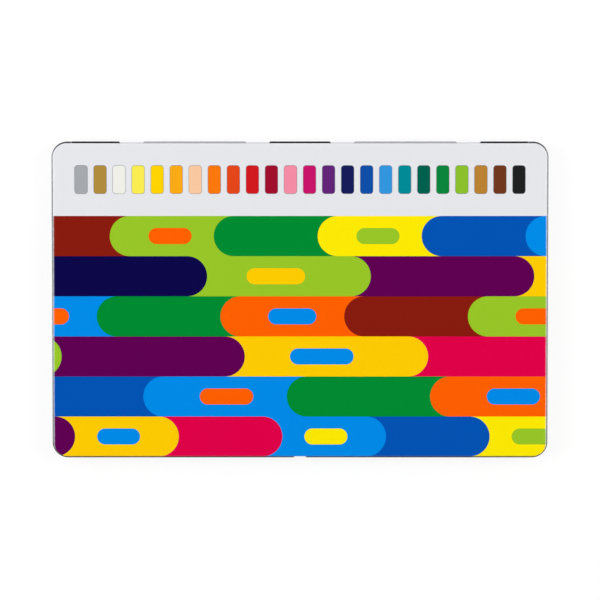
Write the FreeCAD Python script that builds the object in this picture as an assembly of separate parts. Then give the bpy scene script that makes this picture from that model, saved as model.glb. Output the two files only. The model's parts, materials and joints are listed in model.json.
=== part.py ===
import FreeCAD, Part
import math
import os

# A flat hinged tin for colour sticks, closed. Millimetres, +Z up, +X to the right, +Y towards the hinge.
# The origin is the middle of the box that holds the closed tin, on the table.
# The tin is sized outwards from what it holds: sticks, tray, base, lid.

# Colour sticks, from left to right
stick_colours = [
    "silver", "gold", "white", "lemon", "yellow", "amber", "pale_orange", "orange",
    "vermilion", "red", "crimson", "pink", "magenta", "violet", "navy", "blue",
    "sky_blue", "turquoise", "viridian", "green", "yellow_green", "ochre", "brown", "black",
]
stick_radius = 4.0
stick_length = 106.0
stick_cone_length = 14.4
stick_tip_radius = 0.75
stick_tip_rounding = 0.3
stick_end_rounding = 0.5

# Eraser block and its card sleeve
eraser_length = 40.0
eraser_width = 16.0
eraser_thickness = 8.0
eraser_rounding = 1.2
sleeve_wall = 0.35
sleeve_clearance = 0.15
sleeve_setback = 4.0
sleeve_bare_end = 10.0

# Sharpener
sharpener_width = 15.0
sharpener_wall = 1.0
sharpener_collar_wall = 0.55
sharpener_collar_length = 3.2
sharpener_tail_length = 3.6
sharpener_bore_clearance = 0.15
sharpener_slot_depth = 0.6
sharpener_corner = 1.0
sharpener_grip_radius = 9.0
sharpener_grip_depth = 1.2
blade_thickness = 0.6
blade_inset = 0.5
blade_edge_offset = 0.3
screw_head_radius = 1.9
screw_head_height = 0.7
screw_slot_width = 0.5
screw_slot_depth = 0.4
screw_shank_radius = 0.9
screw_length = 3.0
screw_clearance = 0.06

# Formed tray
tray_sheet = 0.6
groove_clearance = 0.15
groove_land = 0.7
groove_end_room = 0.75
groove_lift = 0.75
tray_side_margin = 2.25
tray_back_margin = 3.0
tray_front_margin = 2.7
tray_divider = 3.5
trough_width = 18.0
trough_from_end = 20.0
pocket_side_room = 2.6
pocket_end_room = 0.8
pocket_finger_room = 15.0
pocket_corner = 2.5
pocket_parting = 12.0
seat_gap = 0.1

# Tinplate base
sheet = 0.3
tray_gap = 0.5
base_edge_radius = 1.5
base_hem_height = 1.6
panel_step = 0.4
panel_margin = 6.0
panel_corner = 4.0
tray_rim_lift = 0.3
base_rim_gap = 0.35

# Tinplate lid
lid_gap = 0.4
lid_headroom = 0.55
lid_corner_radius = 6.3
lid_edge_radius = 0.8
lid_skirt = 4.5
bead_height = 0.9
bead_reach = 0.85
nail_notch_width = 5.0

# Wire hinge: one knuckle of the base at the centre, one at each end, and one of the lid in each half
wire_radius = 0.6
wire_clearance = 0.05
wire_end_setback = 0.6
curl_overlap = 0.02
knuckle_relief = 0.35
centre_knuckle_width = 28.2
lid_knuckle_width = 47.0
knuckle_spacing = 10.1
hinge_from_corner = 2.0
bead_end_gap = 0.2
lid_back_relief = 0.45
low_wall_reach = 2.0

# Worked out: the tray's plan
groove_radius = stick_radius + groove_clearance
groove_pitch = 2 * groove_radius + groove_land
groove_length = stick_length + 2 * groove_end_room
groove_field = len(stick_colours) * groove_pitch
sleeve_margin = sleeve_wall + sleeve_clearance
sleeve_width = eraser_width + 2 * sleeve_margin
sleeve_height = eraser_thickness + 2 * sleeve_margin
sleeve_length = eraser_length - sleeve_setback - sleeve_bare_end
pocket_row = max(sleeve_width, sharpener_width) + 2 * pocket_side_room
tray_width = groove_field + 2 * tray_side_margin
tray_depth = tray_back_margin + groove_length + tray_divider + pocket_row + tray_front_margin

# Worked out: walls, from the tray outwards
base_inner_width = tray_width + 2 * tray_gap
base_inner_depth = tray_depth + 2 * tray_gap
base_width = base_inner_width + 2 * sheet
base_depth = base_inner_depth + 2 * sheet
lid_width = base_width + 2 * (lid_gap + sheet)
lid_depth = base_depth + 2 * (lid_gap + sheet)
base_corner_radius = lid_corner_radius - sheet - lid_gap
tray_corner_radius = base_corner_radius - sheet - tray_gap

# Worked out: the hinge in plan. The base's back wall curls outwards round the wire.
knuckle_bore = wire_radius + wire_clearance
knuckle_radius = knuckle_bore + sheet
hinge_behind_lid = knuckle_radius - curl_overlap - lid_gap - 2 * sheet
hinge_reach = hinge_behind_lid + knuckle_radius
centre_y = (bead_reach - hinge_reach) / 2
lid_back = centre_y + lid_depth / 2
lid_front = centre_y - lid_depth / 2
hinge_y = lid_back + hinge_behind_lid
tray_back = centre_y + tray_depth / 2
groove_back = tray_back - tray_back_margin
groove_front = groove_back - groove_length
pocket_back = groove_front - tray_divider
pocket_middle = pocket_back - pocket_row / 2
back_straight = lid_width / 2 - lid_corner_radius

# Worked out: heights
floor_top = sheet + panel_step
pocket_floor = floor_top + tray_sheet
tray_top = floor_top + groove_lift + tray_sheet + groove_radius
stick_top = tray_top + stick_radius
sleeve_bottom = pocket_floor + seat_gap
sharpener_bore = stick_radius + sharpener_bore_clearance
sharpener_axis = sharpener_wall + sharpener_bore
sharpener_height = sharpener_axis + sharpener_bore + sharpener_collar_wall
contents_top = max(stick_top, sleeve_bottom + sleeve_height, pocket_floor + sharpener_height)
lid_inner_top = contents_top + lid_headroom
tin_height = lid_inner_top + sheet
skirt_bottom = tin_height - lid_skirt
hinge_z = skirt_bottom + bead_height / 2
base_height = tin_height - lid_edge_radius - base_rim_gap
lid_back_edge = hinge_z + knuckle_radius + knuckle_relief
base_back_edge = hinge_z - knuckle_radius - knuckle_relief

# Worked out: places along the tray's front row, and along the hinge
eraser_left = -pocket_parting / 2 - pocket_end_room - eraser_length
eraser_pocket_left = eraser_left - pocket_finger_room
eraser_pocket_length = eraser_length + pocket_end_room + pocket_finger_room
cone_slope = (stick_radius - stick_tip_radius) / stick_cone_length
sharpener_cone_length = (sharpener_bore - stick_tip_radius) / cone_slope
sharpener_length = sharpener_collar_length + sharpener_cone_length + sharpener_tail_length
sharpener_pocket_left = pocket_parting / 2
sharpener_pocket_length = pocket_finger_room + sharpener_length + pocket_end_room
sharpener_mouth = sharpener_pocket_left + pocket_finger_room
lid_knuckle_start = centre_knuckle_width / 2 + knuckle_spacing
end_knuckle_start = lid_knuckle_start + lid_knuckle_width + knuckle_spacing
end_knuckle_width = back_straight - hinge_from_corner - end_knuckle_start

# A cut goes this far past the faces that it opens
past = 5.0
# Two places closer than this are the same
same = 1e-6
along_x = FreeCAD.Vector(1, 0, 0)
along_y = FreeCAD.Vector(0, 1, 0)
along_z = FreeCAD.Vector(0, 0, 1)


def box(x_low, x_high, y_low, y_high, z_low, z_high):
    corner = FreeCAD.Vector(x_low, y_low, z_low)
    return Part.makeBox(x_high - x_low, y_high - y_low, z_high - z_low, corner)


def rounded_block(width, depth, corner, z_low, z_high, x_middle=0.0, y_middle=None):
    """An upright block with four round corners in plan."""
    middle = centre_y if y_middle is None else y_middle
    block = box(
        x_middle - width / 2, x_middle + width / 2, middle - depth / 2, middle + depth / 2, z_low, z_high
    )
    upright = [edge for edge in block.Edges if abs(edge.tangentAt(edge.FirstParameter).z) > 0.9]
    return block.makeFillet(corner, upright)


def round_rim(block, level, radius):
    """Rounds the outline of a block at one height."""
    rim = [edge for edge in block.Edges if all(abs(point.Z - level) < same for point in edge.Vertexes)]
    return block.makeFillet(radius, rim)


def tube_along_x(radius, start, length):
    return Part.makeCylinder(radius, length, FreeCAD.Vector(start, hinge_y, hinge_z), along_x)


def one_solid(shape):
    clean = shape.removeSplitter()
    if len(clean.Solids) != 1:
        raise ValueError("expected one solid, found %d" % len(clean.Solids))
    return clean.Solids[0]


def save(shape, name):
    solid = one_solid(shape)
    if not solid.isValid():
        raise ValueError(name + " isn't a valid solid")
    solid.exportStep("parts/" + name + ".step")
    size = solid.BoundBox
    spans = (size.XLength, size.YLength, size.ZLength)
    print("%-22s %8.1f mm3  %6.1f x %6.1f x %5.2f" % ((name, solid.Volume) + spans))


def lid_shell():
    """The printed lid: top, rounded edge, skirt, rolled bead with a nail notch, and two knuckles."""
    outside = rounded_block(lid_width, lid_depth, lid_corner_radius, skirt_bottom, tin_height)
    outside = round_rim(outside, tin_height, lid_edge_radius)
    bead = rounded_block(
        lid_width + 2 * bead_reach, lid_depth + 2 * bead_reach, lid_corner_radius + bead_reach,
        skirt_bottom, skirt_bottom + bead_height,
    )
    bead_rounding = 0.98 * min(bead_height / 2, bead_reach)
    bead = round_rim(bead, skirt_bottom + bead_height, bead_rounding)
    bead = round_rim(bead, skirt_bottom, bead_rounding)
    notch = box(
        -nail_notch_width / 2, nail_notch_width / 2, lid_front - bead_reach - past, lid_front,
        skirt_bottom - past, skirt_bottom + bead_height + past,
    )
    inside = rounded_block(
        lid_width - 2 * sheet, lid_depth - 2 * sheet, lid_corner_radius - sheet,
        skirt_bottom - past, lid_inner_top,
    )
    inside = round_rim(inside, lid_inner_top, lid_edge_radius - sheet)
    shell = outside.fuse(bead.cut(notch)).cut(inside)
    bead_return = back_straight - hinge_from_corner + bead_end_gap
    back = box(
        -bead_return, bead_return, lid_back - lid_back_relief, lid_back + past,
        skirt_bottom - past, lid_back_edge,
    )
    shell = shell.cut(back)
    for start in (lid_knuckle_start, -lid_knuckle_start - lid_knuckle_width):
        leaf = box(start, start + lid_knuckle_width, lid_back - sheet, lid_back, hinge_z, lid_back_edge)
        curl = tube_along_x(knuckle_radius, start, lid_knuckle_width)
        bore = tube_along_x(knuckle_bore, start - past, lid_knuckle_width + 2 * past)
        shell = shell.fuse(leaf.fuse(curl).cut(bore))
    return shell


def base_shell():
    """The base: floor with a pressed-up panel, walls with a folded hem, and three knuckles."""
    outside = rounded_block(base_width, base_depth, base_corner_radius, 0, base_height)
    outside = round_rim(outside, 0, base_edge_radius)
    inside = rounded_block(
        base_inner_width, base_inner_depth, base_corner_radius - sheet, sheet, base_height + past
    )
    inside = round_rim(inside, sheet, base_edge_radius - sheet)
    shell = outside.cut(inside)
    panel_width = base_width - 2 * panel_margin
    panel_depth = base_depth - 2 * panel_margin
    panel = rounded_block(panel_width, panel_depth, panel_corner, sheet / 2, floor_top)
    hollow = rounded_block(
        panel_width - 2 * sheet, panel_depth - 2 * sheet, panel_corner - sheet, -past, panel_step
    )
    shell = shell.fuse(panel).cut(hollow)
    hem_low = base_height - base_hem_height
    hem = rounded_block(base_inner_width, base_inner_depth, base_corner_radius - sheet, hem_low, base_height)
    hem_inside = rounded_block(
        base_inner_width - 2 * sheet, base_inner_depth - 2 * sheet, base_corner_radius - 2 * sheet,
        hem_low - past, base_height + past,
    )
    shell = shell.fuse(hem.cut(hem_inside))
    base_back = centre_y + base_depth / 2
    low_half = back_straight + low_wall_reach
    hem_corner = base_corner_radius - 2 * sheet
    corner_drop = hem_corner - math.sqrt(hem_corner**2 - low_wall_reach**2)
    back = box(
        -low_half, low_half, base_back - 3 * sheet - corner_drop, base_back + past,
        base_back_edge, base_height + past,
    )
    shell = shell.cut(back)
    knuckles = (
        (-centre_knuckle_width / 2, centre_knuckle_width),
        (end_knuckle_start, end_knuckle_width),
        (-end_knuckle_start - end_knuckle_width, end_knuckle_width),
    )
    for start, width in knuckles:
        leaf = box(start, start + width, base_back - sheet, base_back, base_back_edge, hinge_z)
        curl = tube_along_x(knuckle_radius, start, width)
        bore = tube_along_x(knuckle_bore, start - past, width + 2 * past)
        shell = shell.fuse(leaf.fuse(curl).cut(bore))
    return shell


def hinge_wire():
    length = 2 * (back_straight - hinge_from_corner - wire_end_setback)
    return tube_along_x(wire_radius, -length / 2, length)


def stick_places():
    first = -groove_field / 2 + groove_pitch / 2
    return [first + groove_pitch * number for number in range(len(stick_colours))]


def pocket(left, length, grown):
    """The hollow of a pocket in the front row, or the same hollow grown by the tray's wall."""
    return rounded_block(
        length + 2 * grown, pocket_row + 2 * grown, pocket_corner + grown, pocket_floor - grown,
        tray_top if grown else tray_top + past, left + length / 2, pocket_middle,
    )


def trough(grown):
    """The finger trough across the grooves, or the same hollow grown by the tray's wall."""
    front = groove_front + trough_from_end
    return box(
        -groove_field / 2 - grown, groove_field / 2 + grown, front - grown, front + trough_width + grown,
        pocket_floor - grown, tray_top if grown else tray_top + past,
    )


def groove(x, grown):
    """A stick's groove as a whole cylinder, or the same cylinder grown by the tray's wall."""
    start = FreeCAD.Vector(x, groove_front - grown, tray_top)
    return Part.makeCylinder(groove_radius + grown, groove_length + 2 * grown, start, along_y)


def stick_tray():
    """A formed sheet: a flat land, half-round grooves, a finger trough, two pockets and a rim turned down."""
    land = rounded_block(tray_width, tray_depth, tray_corner_radius, tray_top - tray_sheet, tray_top)
    rim_bottom = base_edge_radius + tray_rim_lift
    rim = rounded_block(tray_width, tray_depth, tray_corner_radius, rim_bottom, tray_top)
    rim_inside = rounded_block(
        tray_width - 2 * tray_sheet, tray_depth - 2 * tray_sheet, tray_corner_radius - tray_sheet,
        rim_bottom - past, tray_top + past,
    )
    hollows = [
        pocket(eraser_pocket_left, eraser_pocket_length, 0),
        pocket(sharpener_pocket_left, sharpener_pocket_length, 0),
        trough(0),
    ]
    walls = [
        pocket(eraser_pocket_left, eraser_pocket_length, tray_sheet),
        pocket(sharpener_pocket_left, sharpener_pocket_length, tray_sheet),
        trough(tray_sheet),
    ]
    below = box(-tray_width, tray_width, -tray_depth, tray_depth, 0, tray_top)
    for x in stick_places():
        hollows.append(groove(x, 0))
        walls.append(groove(x, tray_sheet).common(below))
    formed = land.multiFuse([rim.cut(rim_inside)] + walls)
    return formed.cut(hollows)


def round_end(bar, y, radius):
    """Rounds the rim at one end of a bar that lies along Y."""
    rim = [edge for edge in bar.Edges if all(abs(point.Y - y) < same for point in edge.Vertexes)]
    return bar.makeFillet(radius, rim)


def stick(x):
    """One solid colour stick: rounded end, straight body, cone and blunt tip, pointing at the hinge."""
    end = groove_front + groove_end_room
    shoulder = end + stick_length - stick_cone_length
    tip = end + stick_length
    body = Part.makeCylinder(stick_radius, shoulder - end, FreeCAD.Vector(x, end, tray_top), along_y)
    cone = Part.makeCone(
        stick_radius, stick_tip_radius, tip - shoulder, FreeCAD.Vector(x, shoulder, tray_top), along_y
    )
    whole = round_end(body.fuse(cone).removeSplitter(), end, stick_end_rounding)
    return round_end(whole, tip, stick_tip_rounding)


def eraser_block():
    block = box(
        eraser_left, eraser_left + eraser_length,
        pocket_middle - eraser_width / 2, pocket_middle + eraser_width / 2,
        sleeve_bottom + sleeve_margin, sleeve_bottom + sleeve_margin + eraser_thickness,
    )
    ends = [edge for edge in block.Edges if abs(edge.tangentAt(edge.FirstParameter).x) < 0.1]
    return block.makeFillet(eraser_rounding, ends)


def eraser_sleeve():
    left = eraser_left + sleeve_setback
    right = left + sleeve_length
    outside = box(
        left, right, pocket_middle - sleeve_width / 2, pocket_middle + sleeve_width / 2,
        sleeve_bottom, sleeve_bottom + sleeve_height,
    )
    inside = box(
        left - past, right + past,
        pocket_middle - sleeve_width / 2 + sleeve_wall, pocket_middle + sleeve_width / 2 - sleeve_wall,
        sleeve_bottom + sleeve_wall, sleeve_bottom + sleeve_height - sleeve_wall,
    )
    return outside.cut(inside)


def on_sharpener(along, across, up):
    """A point of the sharpener: along its bore from the mouth, across it, and up from the pocket's floor."""
    return FreeCAD.Vector(sharpener_mouth + along, pocket_middle + across, pocket_floor + up)


# The blade's slope runs beside the cone, sunk below its top line so that the cone opens as a slot
slope_start = sharpener_collar_length
slope_top = sharpener_axis + sharpener_bore - sharpener_slot_depth
slope_end = sharpener_collar_length + sharpener_cone_length
slope_bottom = slope_top - sharpener_cone_length * cone_slope
slope_angle = math.degrees(math.atan(cone_slope))
screw_along = (slope_start + slope_end) / 2
screw_across = -(sharpener_width / 2 + blade_edge_offset) / 2 - blade_inset
screw_seat = slope_top - (screw_along - slope_start) * cone_slope
slope_normal = FreeCAD.Vector(cone_slope, 0, 1)


def on_slope(across_low, across_high, along_low, along_high, thickness):
    """A plate lying on the blade's slope, given by its place along the bore's axis."""
    low = slope_top - (along_low - slope_start) * cone_slope
    high = slope_top - (along_high - slope_start) * cone_slope
    outline = [
        on_sharpener(along_low, across_low, low),
        on_sharpener(along_high, across_low, high),
        on_sharpener(along_high, across_high, high),
        on_sharpener(along_low, across_high, low),
    ]
    normal = FreeCAD.Vector(slope_normal)
    return Part.Face(Part.makePolygon(outline + outline[:1])).extrude(normal.normalize() * thickness)


def screw_cylinder(radius, low, high):
    """A cylinder on the screw's line, from low to high above the slope."""
    normal = FreeCAD.Vector(slope_normal).normalize()
    seat = on_sharpener(screw_along, screw_across, screw_seat)
    return Part.makeCylinder(radius, high - low, seat + normal * low, normal)


def sharpener_body():
    half = sharpener_width / 2
    profile = [
        (0, 0), (sharpener_length, 0), (sharpener_length, slope_bottom), (slope_end, slope_bottom),
        (slope_start, slope_top), (slope_start, sharpener_height), (0, sharpener_height),
    ]
    outline = [on_sharpener(along, -half, up) for along, up in profile]
    body = Part.Face(Part.makePolygon(outline + outline[:1])).extrude(along_y * sharpener_width)
    upright = [edge for edge in body.Edges if abs(edge.tangentAt(edge.FirstParameter).z) > 0.99]
    outer = [edge for edge in upright if abs(abs(edge.CenterOfMass.y - pocket_middle) - half) < same]
    ends = (sharpener_mouth, sharpener_mouth + sharpener_length)
    outer = [edge for edge in outer if min(abs(edge.CenterOfMass.x - end) for end in ends) < same]
    body = body.makeFillet(sharpener_corner, outer)
    grip_middle = (slope_start + sharpener_length) / 2
    for side in (-1, 1):
        across = side * (half + sharpener_grip_radius - sharpener_grip_depth)
        grip_foot = on_sharpener(grip_middle, across, -past)
        grip = Part.makeCylinder(sharpener_grip_radius, sharpener_height + 2 * past, grip_foot, along_z)
        body = body.cut(grip)
    mouth = Part.makeCylinder(
        sharpener_bore, sharpener_collar_length + past, on_sharpener(-past, 0, sharpener_axis), along_x
    )
    cone = Part.makeCone(
        sharpener_bore, stick_tip_radius, sharpener_cone_length,
        on_sharpener(sharpener_collar_length, 0, sharpener_axis), along_x,
    )
    tail = Part.makeCylinder(
        stick_tip_radius, sharpener_tail_length + past, on_sharpener(slope_end, 0, sharpener_axis), along_x
    )
    screw_hole = screw_cylinder(screw_shank_radius + screw_clearance, blade_thickness - screw_length, past)
    return body.cut([mouth, cone, tail, screw_hole])


def sharpener_blade():
    outer_edge = -sharpener_width / 2 + sharpener_grip_depth + blade_inset
    blade = on_slope(
        outer_edge, blade_edge_offset, slope_start + blade_inset, slope_end - blade_inset, blade_thickness
    )
    return blade.cut(screw_cylinder(screw_shank_radius + screw_clearance, -past, past))


def blade_screw():
    head_top = blade_thickness + screw_head_height
    head = screw_cylinder(screw_head_radius, blade_thickness, head_top)
    shank = screw_cylinder(screw_shank_radius, blade_thickness - screw_length + screw_clearance, head_top)
    seat = on_sharpener(screw_along, screw_across, screw_seat)
    slot = Part.makeBox(2 * screw_head_radius, screw_slot_width, screw_slot_depth + past)
    slot.translate(FreeCAD.Vector(-screw_head_radius, -screw_slot_width / 2, head_top - screw_slot_depth))
    slot.rotate(FreeCAD.Vector(0, 0, 0), along_y, slope_angle)
    slot.translate(seat)
    return head.fuse(shank).cut(slot)


os.makedirs("parts", exist_ok=True)
save(lid_shell(), "lid_shell")
save(base_shell(), "base_shell")
save(hinge_wire(), "hinge_wire")
save(stick_tray(), "stick_tray")
for number, (colour, x) in enumerate(zip(stick_colours, stick_places()), start=1):
    save(stick(x), "stick_%02d_%s" % (number, colour))
save(eraser_block(), "eraser_block")
save(eraser_sleeve(), "eraser_sleeve")
save(sharpener_body(), "sharpener_body")
save(sharpener_blade(), "sharpener_blade")
save(blade_screw(), "blade_screw")
tin_width = lid_width + 2 * bead_reach
tin_depth = lid_depth + bead_reach + hinge_reach
print("tin %.2f x %.2f x %.2f" % (tin_width, tin_depth, tin_height))
print("hinge at y %.3f, z %.3f" % (hinge_y, hinge_z))
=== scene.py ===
# %% [markdown]
# # A flat tin of colour sticks
# The real object is a flat tinplate box of 24 solid colour sticks, closed and seen from straight above.
# A pressed lid with a rolled edge turns on a wire at the back of a pressed base.
# A formed plastic tray inside holds the sticks, an eraser in a card sleeve and a small sharpener.
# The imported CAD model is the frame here. Every piece lies where a CAD solid says, in metres,
# so nothing is placed by eye, and the lid opens on the same axis as in the simulation.

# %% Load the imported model
import json
import math

import bmesh
import bpy
import numpy as np
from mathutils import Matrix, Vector


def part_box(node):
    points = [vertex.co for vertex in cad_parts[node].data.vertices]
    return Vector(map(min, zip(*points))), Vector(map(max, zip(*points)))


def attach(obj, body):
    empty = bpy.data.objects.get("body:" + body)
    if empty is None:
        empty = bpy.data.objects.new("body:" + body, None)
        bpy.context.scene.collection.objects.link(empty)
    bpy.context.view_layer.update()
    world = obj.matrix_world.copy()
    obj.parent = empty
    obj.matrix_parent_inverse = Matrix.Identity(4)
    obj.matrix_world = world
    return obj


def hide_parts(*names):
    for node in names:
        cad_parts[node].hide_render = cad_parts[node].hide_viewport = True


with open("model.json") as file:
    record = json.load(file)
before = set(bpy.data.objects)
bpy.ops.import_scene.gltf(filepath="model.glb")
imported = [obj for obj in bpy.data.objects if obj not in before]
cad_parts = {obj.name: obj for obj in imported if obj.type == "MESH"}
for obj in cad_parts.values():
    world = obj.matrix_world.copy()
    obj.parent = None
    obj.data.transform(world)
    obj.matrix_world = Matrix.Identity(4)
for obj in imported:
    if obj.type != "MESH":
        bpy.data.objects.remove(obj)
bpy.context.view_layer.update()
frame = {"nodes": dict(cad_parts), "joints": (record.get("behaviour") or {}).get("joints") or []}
mm = 0.001
hinge = Vector(next(j["pos_m"] for j in frame["joints"] if j["name"] == "lid_hinge"))


def put_in_scene(name, data):
    """A new object with that data, linked into the scene."""
    thing = bpy.data.objects.new(name, data)
    bpy.context.scene.collection.objects.link(thing)
    return thing


# %% [markdown]
# ## Camera
# The photograph looks straight down at the closed tin from far away, a little from the hinge side.
# Its outline is half a percent wider at the hinge than at the front, which gives the tilt.
# A long lens at 1.2 m shows the same. Its length follows from the width of the tin in the frame.

# %% Aim the camera
camera_distance = 1.2
camera_tilt = math.radians(2.51)
camera_target = Vector((0, 0, 10 * mm))
camera_data = bpy.data.cameras.new("camera")
camera_data.lens = 158.84
camera_data.sensor_width = 36
camera_data.clip_end = 50
camera = put_in_scene("camera", camera_data)
lean = Vector((0, math.sin(camera_tilt), math.cos(camera_tilt)))
camera.location = camera_target + camera_distance * lean
camera.rotation_euler = (-camera_tilt, 0, 0)
bpy.context.scene.camera = camera
bpy.context.scene.view_settings.view_transform = "Standard"
print("camera at", [round(value, 4) for value in camera.location])

# %% [markdown]
# ## A small kit for node trees
# Finishes and Geometry Nodes are both trees of nodes, and wiring each one by hand fills pages.
# This kit adds a node, feeds its sockets with numbers or with other nodes, and gives back an output.
# An output can stand in a sum like a number, so a rule is written almost as it would be on paper.


# %% Outputs as numbers
class Value:
    """One output in a tree. A sum with it becomes Math nodes of that tree."""

    def __init__(self, tree, socket):
        self.tree = tree
        self.socket = socket

    def __rsub__(self, other):
        return self.tree.math("SUBTRACT", other, self)

    def hypot(self, other):
        return (self * self + other * other).root()


def math_method(operation):
    """A method that puts one Math node behind a Value."""

    def method(self, *others):
        return self.tree.math(operation, self, *others)

    return method


operations = {
    "__add__": "ADD", "__sub__": "SUBTRACT", "__mul__": "MULTIPLY", "__truediv__": "DIVIDE",
    "__mod__": "FLOORED_MODULO", "__lt__": "LESS_THAN", "__gt__": "GREATER_THAN", "__abs__": "ABSOLUTE",
    "__floor__": "FLOOR", "at_least": "MAXIMUM", "at_most": "MINIMUM", "root": "SQRT",
    "sine": "SINE", "cosine": "COSINE",
}
for method_name, operation in operations.items():
    setattr(Value, method_name, math_method(operation))
print("operations on an output:", len(operations) + 2)


# %% The node kit
class Tree:
    """Adds nodes to one tree. A socket is fed with a number, a colour, a vector or a Value."""

    def __init__(self, tree):
        self.tree = tree

    def feed(self, socket, value):
        if isinstance(value, Value):
            self.tree.links.new(value.socket, socket)
        else:
            socket.default_value = value

    def add(self, kind, inputs=None, **settings):
        node = self.tree.nodes.new(kind)
        for name, value in settings.items():
            setattr(node, name, value)
        for name, value in (inputs or {}).items():
            self.feed(node.inputs[name], value)
        return node

    def get(self, kind, inputs=None, output=0, **settings):
        """Adds a node and gives one of its outputs."""
        return Value(self, self.add(kind, inputs, **settings).outputs[output])

    def math(self, operation, *values, kind="ShaderNodeMath"):
        node = self.add(kind, operation=operation)
        for socket, value in zip(node.inputs, values):
            self.feed(socket, value)
        return Value(self, node.outputs[0])

    def vector(self, x, y, z):
        return self.get("ShaderNodeCombineXYZ", {"X": x, "Y": y, "Z": z})

    def moved(self, place, step):
        return self.math("ADD", place, step, kind="ShaderNodeVectorMath")

    def split(self, vector):
        parts = self.add("ShaderNodeSeparateXYZ", {"Vector": vector}).outputs
        return [Value(self, part) for part in parts]

    def rise(self, value, start, end, low=0.0, high=1.0, **settings):
        """Goes from low to high while the value goes from start to end, and is level beyond."""
        limits = {"Value": value, "From Min": start, "From Max": end, "To Min": low, "To Max": high}
        return self.get("ShaderNodeMapRange", limits, "Result", **settings)


class Finish(Tree):
    """One procedural material on Object coordinates, in mm, with a Principled shader to feed."""

    def __init__(self, name):
        self.material = bpy.data.materials.new(name)
        self.material.use_nodes = True
        super().__init__(self.material.node_tree)
        self.shader = self.tree.nodes["Principled BSDF"]
        self.place = self.get("ShaderNodeTexCoord", output="Object")
        self.x, self.y, self.z = (part * 1000.0 for part in self.split(self.place))

    def set(self, **values):
        for name, value in values.items():
            self.feed(self.shader.inputs[name.replace("_", " ").title().replace("Ior", "IOR")], value)

    def noise(self, scale, detail=2.0, stretch=(1, 1, 1)):
        place = self.get("ShaderNodeMapping", {"Vector": self.place, "Scale": stretch})
        return self.get("ShaderNodeTexNoise", {"Vector": place, "Scale": scale, "Detail": detail}, "Fac")

    def spread(self, value, low, high):
        """Turns a noise value, mostly between 0.3 and 0.7, into one between low and high."""
        return self.rise(value, 0.3, 0.7, low, high, interpolation_type="SMOOTHSTEP")

    def mix(self, share, first, second):
        node = self.add("ShaderNodeMix", {"Factor": share}, data_type="RGBA")
        self.feed(node.inputs[6], first)
        self.feed(node.inputs[7], second)
        return Value(self, node.outputs[2])

    def clouded(self, value, first, second):
        """Two colours in clouds, as a noise value says."""
        return self.mix(self.spread(value, 0, 1), first, second)

    def chart(self, number, colours):
        """The colour with that number from a list, as a stepped ramp."""
        node = self.add("ShaderNodeValToRGB", {"Fac": (number + 0.5) / len(colours)})
        ramp = node.color_ramp
        ramp.interpolation = "CONSTANT"
        while len(ramp.elements) < len(colours):
            ramp.elements.new(0.5)
        for step, colour in enumerate(colours):
            ramp.elements[step].position = step / len(colours)
            ramp.elements[step].color = (*colour[:3], 1)
        return Value(self, node.outputs[0])

    def bump(self, height, depth, strength):
        relief = {"Height": height, "Distance": depth, "Strength": strength}
        self.set(normal=self.get("ShaderNodeBump", relief))


def linear(red, green, blue):
    """A colour as a screen names it, 0 to 255, as linear light."""
    steps = [value / 255 for value in (red, green, blue)]
    return tuple(s / 12.92 if s <= 0.04045 else ((s + 0.055) / 1.055) ** 2.4 for s in steps) + (1,)


def uneven_finish(name, colours, roughness, tone, grain=None, relief=None, **values):
    """A finish in clouds of two colours, as one noise says. The grain gives its roughness and relief."""
    finish = Finish(name)
    clouds = finish.noise(*tone)
    marks = finish.noise(*grain) if grain else clouds
    finish.set(base_color=finish.clouded(clouds, *colours), **values)
    finish.set(roughness=finish.spread(marks, *roughness))
    if relief:
        finish.bump(marks, *relief)
    return finish


def clad(piece, *finishes):
    """Appends the finishes to a piece as its material slots."""
    for finish in finishes:
        piece.data.materials.append(finish.material)


print("node kit ready, mid grey is", round(linear(188, 188, 188)[0], 3))

# %% [markdown]
# ## Floor, world and lamps
# The tin lies on a white table under soft light, with hardly a shadow.
# White is the colour of the floor, lifted a little for the camera only, so the tin keeps a soft shadow.
# A mirror-like surface seen from above reflects what is overhead. In a studio that is dark,
# so the world that glossy rays see darkens towards the top, and the inks keep their full colour.

# %% Floor
floor_half = 6.0
floor_drop = 0.02 * mm
floor_lift = 0.78
floor_signs = ((-1, -1), (1, -1), (1, 1), (-1, 1))
floor_corners = [(x * floor_half, y * floor_half, -floor_drop) for x, y in floor_signs]
floor_mesh = bpy.data.meshes.new("floor")
floor_mesh.from_pydata(floor_corners, [], [(0, 1, 2, 3)])
floor = put_in_scene("floor", floor_mesh)
table_white = Finish("table_white")
to_camera = table_white.get("ShaderNodeLightPath", output="Is Camera Ray")
table_white.set(
    base_color=table_white.mix(to_camera, (0.93, 0.93, 0.93, 1), (0.24, 0.24, 0.24, 1)),
    roughness=0.8,
    specular_ior_level=0.0,
    emission_color=(1, 1, 1, 1),
    emission_strength=to_camera * floor_lift,
)
clad(floor, table_white)
print("floor", 2 * floor_half, "m wide")

# %% World
matt_level = 0.5
world = bpy.data.worlds.new("studio")
bpy.context.scene.world = world
world.use_nodes = True
studio = Tree(world.node_tree)
seen_x, _, seen_z = studio.split(studio.get("ShaderNodeTexCoord", output="Generated"))
from_above = studio.rise(seen_z, 0.1, 0.95, 1.0, 0.03)
from_sides = seen_x * seen_x * 0.6 + 0.45
ray_kinds = ("Camera", "Transmission", "Glossy")
rays = [studio.get("ShaderNodeLightPath", output="Is %s Ray" % kind) for kind in ray_kinds]
camera_ray, clear_ray, glossy_ray = rays
indirect = glossy_ray * (from_above * from_sides - matt_level) + matt_level
background = world.node_tree.nodes["Background"]
studio.feed(background.inputs["Strength"], indirect.at_least(camera_ray).at_least(clear_ray))
studio.feed(background.inputs["Color"], (1, 1, 1, 1))
print("world level for matt surfaces", matt_level)

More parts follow.
